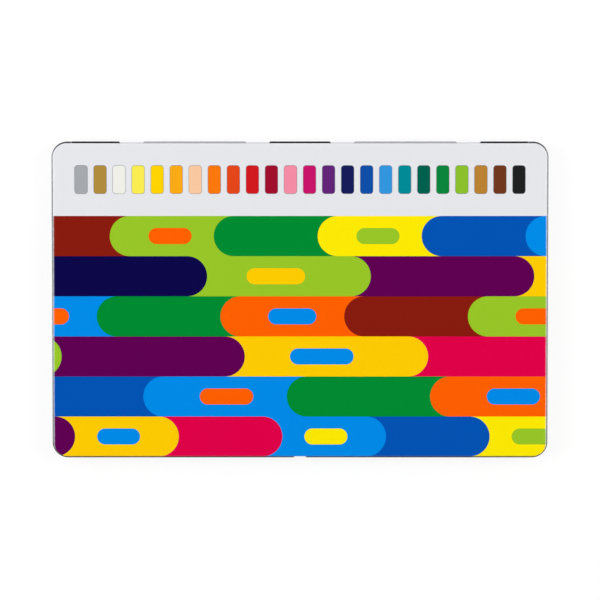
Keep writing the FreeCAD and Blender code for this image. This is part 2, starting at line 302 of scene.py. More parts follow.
# %% Lamps
lamp_places = {
    "left_softbox": ((-0.75, 0.10, 0.75), 4.4),
    "right_softbox": ((0.75, 0.10, 0.75), 3.8),
    "back_softbox": ((0.0, 0.85, 0.70), 0.9),
}
for lamp_name, (place, power) in lamp_places.items():
    lamp_data = bpy.data.lights.new(lamp_name, "AREA")
    lamp_data.size = 0.6
    lamp_data.energy = power
    lamp = put_in_scene(lamp_name, lamp_data)
    lamp.location = place
    lamp.rotation_euler = (-Vector(place)).to_track_quat("-Z", "Y").to_euler()
print("lamps:", len(lamp_places))

# %% [markdown]
# ## The print on the lid
# The lid of such a tin is printed flat, in solid inks under a clear varnish, before it is pressed,
# so the pattern runs on over the rounded edge and down the skirt.
# The ink lies wet against the varnish, so it has no shine of its own: only the varnish reflects.
# An image could be laid over it, but a rule keeps sharp edges at any size.
# The pattern here is a plain one: bands of long round-ended bars, each bar lying over the next,
# below a white strip with one small swatch for each of the sticks.

# %% Inks and swatches
ink_on_screen = {
    "sky": (0, 139, 232), "royal": (2, 83, 180), "yellow": (254, 234, 2), "green": (0, 139, 50),
    "orange": (255, 96, 0), "navy": (12, 7, 73), "lime": (152, 198, 40), "magenta": (225, 0, 72),
    "golden": (255, 204, 0), "purple": (95, 0, 82), "brown": (136, 27, 15),
    "strip_white": (230, 231, 235), "rule_grey": (120, 124, 132),
}
ink = {name: linear(*colour) for name, colour in ink_on_screen.items()}
ink_ring = [
    "sky", "navy", "orange", "royal", "lime", "green", "yellow", "purple",
    "sky", "green", "golden", "royal", "lime", "magenta", "orange", "brown",
]
stick_on_screen = {
    "silver": (165, 168, 172), "gold": (176, 140, 62), "white": (240, 239, 232), "lemon": (250, 236, 80),
    "yellow": (255, 212, 0), "amber": (250, 170, 20), "pale_orange": (250, 200, 160),
    "orange": (250, 120, 10), "vermilion": (228, 70, 25), "red": (208, 24, 30),
    "crimson": (160, 14, 44), "pink": (245, 140, 165),
    "magenta": (200, 20, 105), "violet": (98, 36, 120), "navy": (22, 28, 88), "blue": (14, 78, 168),
    "sky_blue": (50, 150, 222), "turquoise": (0, 138, 150), "viridian": (0, 96, 78), "green": (10, 132, 60),
    "yellow_green": (140, 192, 44), "ochre": (186, 130, 50), "brown": (112, 56, 30), "black": (32, 32, 34),
}
stick_colours = {name: linear(*colour) for name, colour in stick_on_screen.items()}
stick_count = len(stick_colours)
print("inks in the ring:", len(ink_ring), "swatches:", stick_count)

# %% Sizes of the lid and the print
sheet = 0.3 * mm
bead_reach = 0.85 * mm
bead_height = 0.9 * mm
lid_gap = 0.4 * mm
back_slack = 0.02 * mm
lid_low, lid_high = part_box("lid_shell")
lid_half_x = lid_high.x - bead_reach
lid_front = lid_low.y + bead_reach
knuckle_radius = lid_high.y - hinge.y
lid_back = hinge.y - knuckle_radius + lid_gap + 2 * sheet + back_slack
lid_middle_y = (lid_front + lid_back) / 2
lid_half_y = (lid_back - lid_front) / 2
lid_top = lid_high.z
lid_corner = 6.3 * mm
lid_edge = 0.8 * mm
skirt_bottom = lid_top - 4.5 * mm
strip_depth = 32.83 * mm
strip_front = lid_back - strip_depth
band_count = 6
band_mm = (strip_front - lid_front) / mm / band_count
lid_size = [round(2 * half / mm, 2) for half in (lid_half_x, lid_half_y)]
print("lid in mm:", lid_size, "band", round(band_mm, 2))

# %% Bars of the print
lid_print = Finish("printed_tin")
bar_shortest = 47.0
bar_step = 9.0
shift_least = 8.0
shift_step = 17.0
pill_middle = 0.42
pill_half = 0.13
pill_radius = 0.2 * band_mm


def printed_bars(finish):
    """Bands of bars. Each bar ends in a half circle that lies over the start of the next bar."""
    up = (finish.y - lid_front / mm) / band_mm
    band = math.floor(up.at_least(0.0).at_most(band_count - 0.001))
    across = (up - (band + 0.5)) * band_mm
    turned = 1.0 - band % 2.0 * 2.0
    bar_length = band * 2.0 % 5.0 * bar_step + bar_shortest
    along = finish.x * turned + (band * 3.0 % 5.0 * shift_step + shift_least)
    cell = math.floor(along / bar_length)
    inside = along - cell * bar_length
    past_centre = (inside - (bar_length - band_mm / 2)).at_least(0.0)
    bar = cell + (past_centre.hypot(across) > band_mm / 2)
    number = (band * 5.0 + bar * 3.0) % len(ink_ring)
    pill_reach = (abs(inside - bar_length * pill_middle) - bar_length * pill_half).at_least(0.0)
    chosen = (cell + band) % 2.0 < 0.5
    pill = (pill_reach.hypot(across) < pill_radius) * chosen
    pill_number = (number + 6.0) % len(ink_ring)
    shown = number * (1.0 - pill) + pill_number * pill
    return finish.chart(shown, [ink[name] for name in ink_ring])


bars = printed_bars(lid_print)
print("bars of", band_mm, "mm")

# %% Swatches of the print
swatch_pitch = 8.6
swatch_half = (3.0, 6.5)
swatch_corner = 1.5
swatch_rule = 0.18


def printed_swatches(finish, ground):
    """One rounded swatch for each stick, in a row on the white strip, with a fine grey outline."""
    place = finish.x / swatch_pitch + stick_count / 2
    from_axis = abs((place % 1.0 - 0.5) * swatch_pitch)
    from_row = abs(finish.y - (lid_back - strip_depth / 2) / mm)
    over_x = (from_axis - (swatch_half[0] - swatch_corner)).at_least(0.0)
    over_y = (from_row - (swatch_half[1] - swatch_corner)).at_least(0.0)
    reach = over_x.hypot(over_y)
    in_row = abs(finish.x) < swatch_pitch * stick_count / 2
    outlined = (reach < swatch_corner) * in_row
    filled = (reach < swatch_corner - swatch_rule) * in_row
    colours = finish.chart(math.floor(place), list(stick_colours.values()))
    return finish.mix(filled, finish.mix(outlined, ground, ink["rule_grey"]), colours)


strip = printed_swatches(lid_print, ink["strip_white"])
on_strip = lid_print.y > strip_front / mm
print("swatch row in mm:", round(swatch_pitch * stick_count, 1))

# %% Painted highlight along the short edges
# A pale strip mixed into the print over the rounded left and right edges, broken up by noise: a painted
# highlight.
bend_drop = lid_top / mm - lid_print.z
end_x = lid_half_x / mm
painted_edge_highlight = lid_print.spread(lid_print.noise(420, detail=3.0), 0.50, 0.72)
painted_edge_highlight = painted_edge_highlight * lid_print.rise(bend_drop, 0.06, 0.22)
painted_edge_highlight = painted_edge_highlight * lid_print.rise(bend_drop, 0.85, 0.60)
painted_edge_highlight = painted_edge_highlight * lid_print.rise(abs(lid_print.x), end_x - 0.9, end_x - 0.45)
print("worn edge below", round(lid_top / mm, 2), "mm")

# %% Varnish over the print
ripple = lid_print.noise(900, detail=1.0)
lid_print.bump(ripple, 0.003 * mm, 0.25)
haze = lid_print.noise(55, detail=3.0)
# Along the short edges the print is mixed towards a pale blue-white: the painted highlight.
lid_print.set(
    base_color=lid_print.mix(painted_edge_highlight, lid_print.mix(on_strip, bars, strip), (0.84, 0.90, 0.95, 1)),
    specular_ior_level=0.0,
    coat_weight=0.7,
    coat_roughness=lid_print.spread(haze, 0.04, 0.07),
)
print("lid print:", len(lid_print.tree.nodes), "nodes")

# %% [markdown]
# ## Tinplate
# The base, the inside of the lid and the hinge are plain tinplate under clear lacquer:
# a soft grey shine with fine marks in the direction in which the sheet was rolled.
# A noise stretched along X gives the marks, and a broad one makes the shine uneven.
# The bead and the base's curls get a dark metal colour, and the lid's curls a grey one where their print is
# white: painted shade, for how dark these rounded parts look under the lamps.

# %% Tinplate and wire
plain_tin = uneven_finish(
    "plain_tin", ((0.69, 0.70, 0.71, 1), (0.76, 0.77, 0.78, 1)), (0.30, 0.37), metallic=0.85,
    tone=(18,), grain=(2600, 2.0, (0.02, 1, 1)), relief=(0.001 * mm, 0.3),
)
# The bead's metal is much darker than the tinplate: painted shade.
rolled_edge = uneven_finish(
    "rolled_edge", ((0.18, 0.187, 0.195, 1), (0.26, 0.267, 0.275, 1)), (0.18, 0.26), metallic=1.0,
    tone=(900, 3.0),
)
# The base's curls are a near-black metal: painted shade, standing for their dark reflections.
curled_steel = uneven_finish(
    "curled_steel", ((0.018, 0.018, 0.019, 1), (0.034, 0.034, 0.036, 1)), (0.32, 0.46), metallic=1.0,
    tone=(700, 3.0, (0.2, 1, 1)),
)
# The lid's curls are grey where the print on them is white: painted shade.
lid_curl_painted_shade = uneven_finish(
    "lacquered_curl", (linear(168, 169, 172), linear(181, 182, 185)), (0.30, 0.45), tone=(800, 3.0),
)
wire_steel = Finish("hinge_steel")
drawn = wire_steel.noise(700, stretch=(0.05, 1, 1))
wire_steel.set(
    base_color=(0.86, 0.87, 0.88, 1),
    metallic=0.2,
    roughness=wire_steel.spread(drawn, 0.36, 0.50),
)
wire_steel.bump(drawn, 0.003 * mm, 0.5)
print("tinplate:", len(plain_tin.tree.nodes), "nodes")

# %% [markdown]
# ## Pressed shells
# Lid and base are both pressed from one sheet: the same section runs all the way round a rectangle
# with round corners. Boxes with bevels would do, but the rolled bead and the folded hem would be lost.
# So a shell is built as a tool maker draws it:
# a section, given as insets and heights, carried round an outline.
# Where the sheet is cut away, at the hinge and at the thumb notch, another section takes over.


# %% Section and outline tools
def arc(middle, radius, start, end, steps):
    """Points of an arc in a section, from one angle to another, in degrees."""
    angles = np.radians(np.linspace(start, end, steps + 1))
    return [(middle[0] + radius * math.cos(a), middle[1] + radius * math.sin(a)) for a in angles]


def outline(front_stops, back_stops, corner_angles):
    """Stations round a rectangle: the corner or stop each one belongs to, and its outward direction."""
    stations = [("stop", x, -1.0, 0.0, -1.0) for x in front_stops]
    for sign_x, sign_y in ((1, -1), (1, 1), (-1, 1), (-1, -1)):
        if (sign_x, sign_y) == (-1, 1):
            stations += [("stop", x, 1.0, 0.0, 1.0) for x in reversed(back_stops)]
        for a in corner_angles:
            turn = math.radians(90 - a if sign_x == sign_y else a)
            stations.append(("corner", sign_x, sign_y, sign_x * math.sin(turn), sign_y * math.cos(turn)))
    return stations


def station_point(station, plan, inset, height, corner):
    kind, first, second, out_x, out_y = station
    half_x, half_y, middle_y = plan
    if kind == "stop":
        return (first, middle_y + second * (half_y - inset), height)
    x = first * (half_x - inset - corner) + out_x * corner
    y = middle_y + second * (half_y - inset - corner) + out_y * corner
    return (x, y, height)


def ring_faces(mesh, first, second):
    """A row of faces between two rings of points."""
    following = zip(first, first[1:] + first[:1], second[1:] + second[:1], second)
    return [mesh.faces.new(corners) for corners in following]


def pressed_shell(mesh, stations, sections, choose, plan):
    """Carries a section round the outline, closes both ends with panels and returns the rows of faces."""
    rings = []
    for step in range(len(sections["plain"])):
        points = [station_point(s, plan, *sections[choose(s)][step]) for s in stations]
        rings.append([mesh.verts.new(point) for point in points])
    rows = [ring_faces(mesh, lower, upper) for lower, upper in zip(rings, rings[1:])]
    rows.append([mesh.faces.new(rings[0][::-1])])
    rows.append([mesh.faces.new(rings[-1])])
    return rows


def shaded_object(mesh, name, sharp_degrees=35):
    """Makes a smooth-shaded object of a bmesh, with its sharp edges kept."""
    data = bpy.data.meshes.new(name)
    mesh.to_mesh(data)
    mesh.free()
    data.shade_smooth()
    data.set_sharp_from_angle(angle=math.radians(sharp_degrees))
    return put_in_scene(name, data)


def tidy_mesh(mesh, name, sharp_degrees=35):
    """Merges doubles, turns faces outwards, and makes an object of a bmesh."""
    bmesh.ops.remove_doubles(mesh, verts=mesh.verts, dist=0.0005 * mm)
    bmesh.ops.dissolve_degenerate(mesh, edges=mesh.edges, dist=0.0005 * mm)
    bmesh.ops.recalc_face_normals(mesh, faces=mesh.faces)
    return shaded_object(mesh, name, sharp_degrees)


base_corner = lid_corner - sheet - lid_gap
low_wall_reach = 2.0 * mm
low_wall_angle = math.degrees(math.asin(low_wall_reach / base_corner))
half_corner = [0, 5.5, 11, 16.5, low_wall_angle - 0.1, low_wall_angle + 0.1, 27, 33, 39]
corner_angles = half_corner + [45] + [90 - a for a in reversed(half_corner)]
print("corner stations:", len(corner_angles), "low wall ends at", round(low_wall_angle, 1), "degrees")

# %% [markdown]
# ## Knuckles
# The lid and the base hold the wire with tongues of their own sheet, curled round it.
# A plain tube would look like a welded pipe. A curl has a tongue, a turn and a fine slit
# where the edge ends, and all of that is one outline, drawn across the hinge and pulled along the wire.

# %% Curl tool
knuckle_bore = knuckle_radius - sheet
tongue_crop = 0.7 * mm
tongue_rise = 0.35 * mm
hinge_end = lid_half_x - lid_corner - 2.0 * mm
lid_knuckle = (24.2 * mm, 71.2 * mm)
centre_knuckle_half = 14.1 * mm
end_knuckle_start = 81.3 * mm
lid_curl_end = -239
base_curl_end = -122


def pull_along_wire(mesh, section, start, end, crop_start=tongue_crop, crop_end=tongue_crop):
    """Pulls a closed outline, given round the hinge's axis, along the wire, with cropped back corners."""
    behind_lid = lid_back - hinge.y
    crop = [max(0.0, (y - behind_lid) / (knuckle_radius - behind_lid)) for y, z in section]
    ends = []
    for x, inwards in ((start, crop_start), (end, -crop_end)):
        points = [(x + inwards * c, hinge.y + y, hinge.z + z) for c, (y, z) in zip(crop, section)]
        ends.append([mesh.verts.new(point) for point in points])
    left, right = ends
    return ring_faces(mesh, left, right) + [mesh.faces.new(left[::-1]), mesh.faces.new(right)]


lid_tongue = (lid_back - hinge.y, lid_back - sheet - hinge.y)
lid_tongue_top = knuckle_radius + tongue_rise
leaves_outside = math.degrees(math.acos(lid_tongue[0] / knuckle_radius))
leaves_bore = math.degrees(math.acos(lid_tongue[1] / knuckle_bore))
lid_curl = [(lid_tongue[0], lid_tongue_top)]
lid_curl += arc((0, 0), knuckle_radius, leaves_outside, lid_curl_end, 36)
lid_curl += arc((0, 0), knuckle_bore, lid_curl_end, leaves_bore, 36)
lid_curl += [(lid_tongue[1], lid_tongue_top)]
base_curl = [(-knuckle_radius, -lid_tongue_top)]
base_curl += arc((0, 0), knuckle_radius, 180, base_curl_end, 34)
base_curl += arc((0, 0), knuckle_bore, base_curl_end, 180, 34)
base_curl += [(-knuckle_bore, -lid_tongue_top)]
print("curl outlines:", len(lid_curl), "and", len(base_curl), "points")

# %% [markdown]
# ## Lid
# The lid is a shallow pan: a flat top, a small edge radius, a short skirt, and a bead rolled outwards
# that stiffens the edge and hides the cut. A fine groove shows where the roll meets the skirt.
# At the front centre the bead is pressed flat for a thumb nail.
# Along the hinge the skirt is cut short.

# %% Sections of the lid
bead_round = bead_height / 2
bead_top = skirt_bottom + bead_height
above_bead = bead_top + 0.06 * mm
bead_middle = (bead_round - bead_reach, skirt_bottom + bead_round)
lid_back_edge = hinge.z + lid_tongue_top
groove_width = 0.07 * mm
groove_bottom = bead_top - 0.25 * mm
groove_lip = bead_top - 0.05 * mm
cut_break = 0.08 * mm
lid_outside = arc((lid_edge, lid_top - lid_edge), lid_edge, 90, 180, 8)
lid_inside = arc((lid_edge, lid_top - lid_edge), lid_edge - sheet, 180, 90, 6)


def cut_edge(z):
    return [(sheet - cut_break, z), (sheet, z + cut_break)]


def straight_edge(top, bottom, steps):
    return [(0, height) for height in np.linspace(top, bottom, steps - 2)] + cut_edge(bottom)


rolled_bead = [(0, above_bead), (0, groove_bottom)]
rolled_bead += [(-groove_width, groove_bottom), (-groove_width, groove_lip)]
rolled_bead += arc(bead_middle, bead_round, 90, 270, 12) + cut_edge(skirt_bottom)
bead_steps = len(rolled_bead)
lid_edges = {
    "plain": rolled_bead,
    "notch": straight_edge(above_bead, skirt_bottom, bead_steps),
    "back": straight_edge(lid_back_edge + 0.5 * mm, lid_back_edge, bead_steps),
}
lid_sections = {}
for edge_name, edge in lid_edges.items():
    whole = lid_outside + edge + lid_inside
    lid_sections[edge_name] = [(inset, z, lid_corner - inset) for inset, z in whole]
print("lid section:", len(lid_sections["plain"]), "points, bead", bead_steps)

# %% Build the lid
notch_half = 2.0 * mm
notch_slope = 1.0 * mm
lid_stops = [-notch_half - notch_slope, -notch_half, notch_half, notch_half + notch_slope]
bead_return = hinge_end + 0.2 * mm
cut_step = 0.02 * mm
hinge_stops = [-bead_return, cut_step - bead_return, bead_return - cut_step, bead_return]


def lid_choice(station):
    kind, x, side = station[:3]
    if kind == "corner":
        return "plain"
    if side > 0:
        return "back" if abs(x) < bead_return else "plain"
    return "notch" if abs(x) <= notch_half else "plain"


lid_mesh = bmesh.new()
lid_stations = outline(lid_stops, hinge_stops, corner_angles)
lid_plan = (lid_half_x, lid_half_y, lid_middle_y)
lid_rows = pressed_shell(lid_mesh, lid_stations, lid_sections, lid_choice, lid_plan)
bead_from = len(lid_outside) + 1
inside_from = len(lid_outside) + bead_steps - 2
# The bead rows take slot 2, the bead's dark metal: painted shade.
for row_number, row in enumerate(lid_rows):
    inner = inside_from <= row_number < len(lid_rows) - 2 or row_number == len(lid_rows) - 1
    on_bead = bead_from <= row_number < inside_from
    for face in row:
        face.material_index = 1 if inner else (2 if on_bead else 0)
# The curls take slot 3, their grey: painted shade.
for knuckle in (lid_knuckle, (-lid_knuckle[1], -lid_knuckle[0])):
    for face in pull_along_wire(lid_mesh, lid_curl, *knuckle):
        face.material_index = 3
lid = tidy_mesh(lid_mesh, "lid")
clad(lid, lid_print, plain_tin, rolled_edge, lid_curl_painted_shade)
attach(lid, "lid")
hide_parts("lid_shell")
print("lid faces:", len(lid.data.polygons))

# %% [markdown]
# ## Base
# The base is the same kind of pan the other way up: a floor with a panel pressed up to stiffen it,
# a round bottom edge, and walls folded inwards at the top into a hem that is safe to touch.
# Its back wall is cut low between the corners, and three tongues there curl round the wire.

# %% Sections of the base
base_plan = (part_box("base_shell")[1].x, lid_half_y - sheet - lid_gap, lid_middle_y)
base_edge = 1.5 * mm
base_top = lid_top - lid_edge - 0.35 * mm
base_back_edge = hinge.z - lid_tongue_top
panel_margin = 6.0 * mm
panel_corner = 4.0 * mm
panel_step = 0.4 * mm
press = 0.12 * mm
hem_bottom = base_top - 1.6 * mm
hem_break = 0.05 * mm
under_panel = [
    (panel_margin + sheet + press, panel_step, panel_corner - sheet - press),
    (panel_margin + sheet, panel_step - press, panel_corner - sheet),
    (panel_margin + sheet, press, panel_corner - sheet),
    (panel_margin + sheet - press, 0, panel_corner - sheet + press),
]
bottom_edge = arc((base_edge, base_edge), base_edge, 270, 180, 8)
hem = [(0, base_top - 2 * sheet)] + arc((sheet, base_top - sheet), sheet, 180, 0, 8)
hem += [(2 * sheet, hem_bottom + hem_break), (2 * sheet - hem_break, hem_bottom), (sheet, hem_bottom)]
low_wall = [(0, z) for z in np.linspace(base_back_edge - 2 * sheet, base_back_edge, len(hem) - 1)]
low_wall += [(sheet, base_back_edge)]
inner_edge = arc((base_edge, base_edge), base_edge - sheet, 180, 270, 6)
over_panel = [
    (panel_margin - press, sheet, panel_corner + press),
    (panel_margin, sheet + press, panel_corner),
    (panel_margin, sheet + panel_step - press, panel_corner),
    (panel_margin + press, sheet + panel_step, panel_corner - press),
]
base_sections = {}
for rim_name, rim in (("plain", hem), ("back", low_wall)):
    walls = [(inset, z, base_corner - inset) for inset, z in bottom_edge + rim + inner_edge]
    base_sections[rim_name] = under_panel + walls + over_panel
print("base section:", len(base_sections["plain"]), "points, hem from", round(hem_bottom / mm, 2), "mm")


# %% Build the base
def base_choice(station):
    side, out_y = station[2], station[4]
    low = side > 0 and out_y > math.cos(math.radians(low_wall_angle))
    return "back" if low else "plain"


base_mesh = bmesh.new()
pressed_shell(base_mesh, outline([0.0], [0.0], corner_angles), base_sections, base_choice, base_plan)
base_knuckles = (
    (-centre_knuckle_half, centre_knuckle_half, tongue_crop, tongue_crop),
    (end_knuckle_start, hinge_end, tongue_crop, 0.0),
    (-hinge_end, -end_knuckle_start, 0.0, tongue_crop),
)
# The base's curls take slot 1, the near-black metal: painted shade.
for knuckle in base_knuckles:
    for face in pull_along_wire(base_mesh, base_curl, *knuckle):
        face.material_index = 1
base = tidy_mesh(base_mesh, "base")
clad(base, plain_tin, curled_steel)
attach(base, "base")
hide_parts("base_shell")
frame["nodes"]["hinge_wire"].data.materials.clear()
clad(frame["nodes"]["hinge_wire"], wire_steel)
print("base faces:", len(base.data.polygons))

# %% [markdown]
# ## Sticks
# Each stick is one solid bar of colour, turned to a cone at one end, with no wood and no paint.
# A stick follows a rule, radius against length, so one Geometry Nodes tree makes them all:
# points gathered where the shape bends, a radius for each point, and a circle carried along.


# %% Start, end and use of a tree
def open_tree(name, inputs):
    """A new Geometry Nodes tree with named inputs of each kind."""
    tree = bpy.data.node_groups.new(name, "GeometryNodeTree")
    for kind, input_names in inputs.items():
        for input_name in input_names:
            tree.interface.new_socket(input_name, in_out="INPUT", socket_type="NodeSocket" + kind)
    tree.interface.new_socket("Geometry", in_out="OUTPUT", socket_type="NodeSocketGeometry")
    recipe = Tree(tree)
    outputs = recipe.add("NodeGroupInput").outputs
    return recipe, {socket.name: Value(recipe, socket) for socket in outputs}


def close_tree(recipe, geometry, material):
    """The last three nodes of every tree here: real geometry, its material, and the way out."""
    real = recipe.get("GeometryNodeRealizeInstances", {"Geometry": geometry})
    finished = recipe.get("GeometryNodeSetMaterial", {"Geometry": real, "Material": material})
    recipe.add("NodeGroupOutput", {"Geometry": finished})


def grow(name, recipe, settings):
    """Runs a tree once with the given sizes and leaves a plain mesh behind."""
    piece = put_in_scene(name, bpy.data.meshes.new(name))
    modifier = piece.modifiers.new("tree", "NODES")
    modifier.node_group = recipe.tree
    for item in recipe.tree.interface.items_tree:
        if item.in_out == "INPUT":
            modifier[item.identifier] = settings[item.name]
    evaluated = piece.evaluated_get(bpy.context.evaluated_depsgraph_get())
    grown = bpy.data.meshes.new_from_object(evaluated)
    piece.modifiers.remove(modifier)
    piece.data = grown
    grown.name = name
    return piece


stick_inputs = {
    "Float": ("Radius", "Length", "Cone Length", "Tip Radius", "End Rounding", "Tip Rounding"),
    "Vector": ("End",),
    "Int": ("Sides", "Stations"),
    "Material": ("Material",),
}
lathe, given = open_tree("colour_stick", stick_inputs)
print("stick tree inputs:", len(lathe.tree.interface.items_tree) - 1)

# %% Points gathered where the stick bends
straight = lathe.get("GeometryNodeCurvePrimitiveLine", {"End": (0, 1, 0)})
stations = lathe.get("GeometryNodeResampleCurve", {"Curve": straight, "Count": given["Stations"]})
share = lathe.get("GeometryNodeSplineParameter", output="Factor")
gather = lathe.add("ShaderNodeFloatCurve", {"Value": share})
bends = [(0.24, 0.0048), (0.34, 0.862), (0.42, 0.867), (0.78, 0.997)]
gather_curve = gather.mapping.curves[0]
for bend in bends:
    gather_curve.points.new(*bend)
for point in gather_curve.points:
    point.handle_type = "VECTOR"
gather.mapping.update()
along = Value(lathe, gather.outputs[0]) * given["Length"]
print("bends of the stick:", len(bends))


# %% The stick's radius
def quarter_circle(radius, run):
    """The height of a quarter circle at a run from its middle."""
    return (radius * radius - run * run).at_least(0.0).root()


end_run = (given["End Rounding"] - along).at_least(0.0)
end_radius = given["Radius"] - given["End Rounding"] + quarter_circle(given["End Rounding"], end_run)
shoulder = given["Length"] - given["Cone Length"]
slope = (given["Radius"] - given["Tip Radius"]) / given["Cone Length"]
cone_radius = given["Radius"] - (along - shoulder).at_least(0.0) * slope
tip_run = (along - (given["Length"] - given["Tip Rounding"])).at_least(0.0)
tip_fall = given["Tip Rounding"] - quarter_circle(given["Tip Rounding"], tip_run)
turned_radius = end_radius.at_most(cone_radius) - tip_fall
at_place = lathe.moved(given["End"], lathe.vector(0.0, along, 0.0))
sized = lathe.get("GeometryNodeSetCurveRadius", {"Curve": stations, "Radius": turned_radius})
placed = lathe.get("GeometryNodeSetPosition", {"Geometry": sized, "Position": at_place})
print("stick rule:", len(lathe.tree.nodes), "nodes")

# %% Carry a circle along the stick
rim_circle = lathe.get("GeometryNodeCurvePrimitiveCircle", {"Resolution": given["Sides"], "Radius": 1.0})
carried = {"Curve": placed, "Profile Curve": rim_circle, "Fill Caps": True}
carried["Scale"] = lathe.get("GeometryNodeInputRadius")
turned = lathe.get("GeometryNodeCurveToMesh", carried)
smooth = lathe.get("GeometryNodeSetShadeSmooth", {"Geometry": turned})
crisp = lathe.get("GeometryNodeInputMeshEdgeAngle", output="Unsigned Angle") > math.radians(35)
edged = {"Geometry": smooth, "Selection": crisp, "Shade Smooth": False}
close_tree(lathe, lathe.get("GeometryNodeSetShadeSmooth", edged, domain="EDGE"), given["Material"])
print("stick tree:", len(lathe.tree.nodes), "nodes")

# %% [markdown]
# ### Finish of a stick
# The colour goes right through, pressed from pigment, wax and resin, so it is even but never flat:
# slightly cloudy, with a wax sheen on the drawn body and a matt cone with fine rings from turning.
# Silver and gold hold metal flakes, which a share of metal in the shader stands for.

# %% Make 24 sticks
first_low, first_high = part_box("stick_01_silver")
stick_radius = (first_high.x - first_low.x) / 2
stick_length = first_high.y - first_low.y
cone_length = 14.4 * mm
cone_start = (first_high.y - cone_length) / mm
ring_pitch = 0.28


def stick_finish(name, colour, metal):
    finish = Finish("colour_" + name)
    on_cone = finish.y > cone_start
    cloudy = finish.noise(160, detail=3.0)
    shade = tuple(0.92 * part for part in colour[:3]) + (1,)
    rings = (finish.y * (2 * math.pi / ring_pitch)).sine()
    finish.bump(rings * on_cone * 0.35 + finish.noise(2600), 0.006 * mm, 0.5)
    finish.set(
        base_color=finish.clouded(cloudy, shade, colour),
        roughness=on_cone * 0.18 + finish.spread(cloudy, 0.28, 0.40),
        metallic=metal,
        specular_ior_level=0.5,
    )
    return finish.material


stick_sizes = {
    "Radius": stick_radius, "Length": stick_length, "Cone Length": cone_length, "Tip Radius": 0.75 * mm,
    "End Rounding": 0.5 * mm, "Tip Rounding": 0.3 * mm, "Sides": 40, "Stations": 44,
}
for number, (name, colour) in enumerate(stick_colours.items(), start=1):
    node_name = "stick_%02d_%s" % (number, name)
    low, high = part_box(node_name)
    end = Vector(((low.x + high.x) / 2, low.y, low.z + stick_radius))
    material = stick_finish(name, colour, 0.45 if name in ("silver", "gold") else 0.0)
    stick = grow("colour_" + node_name, lathe, {**stick_sizes, "End": end, "Material": material})
    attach(stick, "base")
    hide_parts(node_name)
    "colour_" + name
print("sticks:", stick_count, "faces each:", len(stick.data.polygons))

# %% [markdown]
# ## Tray
# The tray is one thin sheet of white plastic, drawn by vacuum over a mould: 24 half-round grooves,
# a finger trough across them, two pockets in front, and a rim turned down at the edge.
# Cutting these from a block leaves hard edges that a heated sheet never has.
# So the tray is a height for each point of a grid whose lines crowd together where the sheet bends,
# with rounded meetings, and Solidify gives it the thickness of the sheet.

# %% Plan of the tray, in mm
tray_low, tray_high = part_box("stick_tray")
tray_top = tray_high.z / mm
tray_sheet = 0.6
tray_middle_y = (tray_low.y + tray_high.y) / 2 / mm
tray_half = ((tray_high.x - tray_low.x) / 2 / mm, (tray_high.y - tray_low.y) / 2 / mm)
tray_corner = 4.8
rim_bottom = 1.8
groove_radius = stick_radius / mm + 0.15
groove_pitch = 9.0
groove_left = -groove_pitch * stick_count / 2
groove_y = (first_low.y / mm - 0.75, first_high.y / mm + 0.75)
trough_y = (groove_y[0] + 20.0, groove_y[0] + 38.0)
hollow_floor = 1.3
hollow_wall = 0.7
pocket_y = (groove_y[0] - 3.5 - 22.2, groove_y[0] - 3.5)
pockets_x = ((-61.8, -6.0), (6.0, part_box("sharpener_body")[1].x / mm + 0.8))
print("grooves from", round(groove_y[0], 2), "to", round(groove_y[1], 2), "mm, pockets", pockets_x)

# %% Grid lines of the tray
near = (0.05, 0.15, 0.3, 0.5, 0.75, 1.1, 1.6)
closest = 0.045
rim_runs = (0.0, 0.04, 0.2, 0.45, 0.8)
rim_falls = (tray_top - rim_bottom, 0.8, 0.22, 0.05, 0.0)


def lines_round(edges, half, spare):
    """Grid lines that crowd round each edge and at the rim, with no two nearer than the closest step."""
    wanted = {-half, half} | set(spare)
    wanted |= {side * (half - run) for side in (-1, 1) for run in rim_runs}
    for edge in edges:
        wanted |= {edge} | {edge + d for d in near} | {edge - d for d in near}
    kept = []
    for line in sorted(value for value in wanted if -half <= value <= half):
        if not kept or line - kept[-1] > closest:
            kept.append(line)
    return np.array(kept)


steps = np.arange(14) / 14
crowded = steps - 0.8 / (2 * math.pi) * np.sin(2 * math.pi * steps)
ridge_lines = [groove_left + groove_pitch * (k + u) for k in range(stick_count) for u in crowded]
tray_x = lines_round([x for pair in pockets_x for x in pair], tray_half[0], ridge_lines + [-groove_left])
y_edges = [y - tray_middle_y for y in (*groove_y, *trough_y, *pocket_y)]
tray_y = lines_round(y_edges, tray_half[1], [])
print("tray grid:", len(tray_x), "by", len(tray_y), "lines")

# %% Heights of the tray
grid_x, grid_y = np.meshgrid(tray_x, tray_y)
sheet_y = grid_y + tray_middle_y


def softer_low(first, second, blend):
    """The lower of two heights, with a round meeting instead of a crease."""
    share = np.clip(0.5 + 0.5 * (second - first) / blend, 0, 1)
    return second * (1 - share) + first * share - blend * share * (1 - share)


def eased(share):
    return share * share * (3 - 2 * share)


def hollow(x_low, x_high, y_low, y_high, corner):
    """Heights of a hollow with a rounded rectangle for its plan and sloping walls."""
    dx = np.abs(grid_x - (x_low + x_high) / 2) - (x_high - x_low) / 2 + corner
    dy = np.abs(sheet_y - (y_low + y_high) / 2) - (y_high - y_low) / 2 + corner
    outside = np.hypot(np.maximum(dx, 0), np.maximum(dy, 0)) + np.minimum(np.maximum(dx, dy), 0) - corner
    return tray_top - (tray_top - hollow_floor) * eased(np.clip(-outside / hollow_wall, 0, 1))


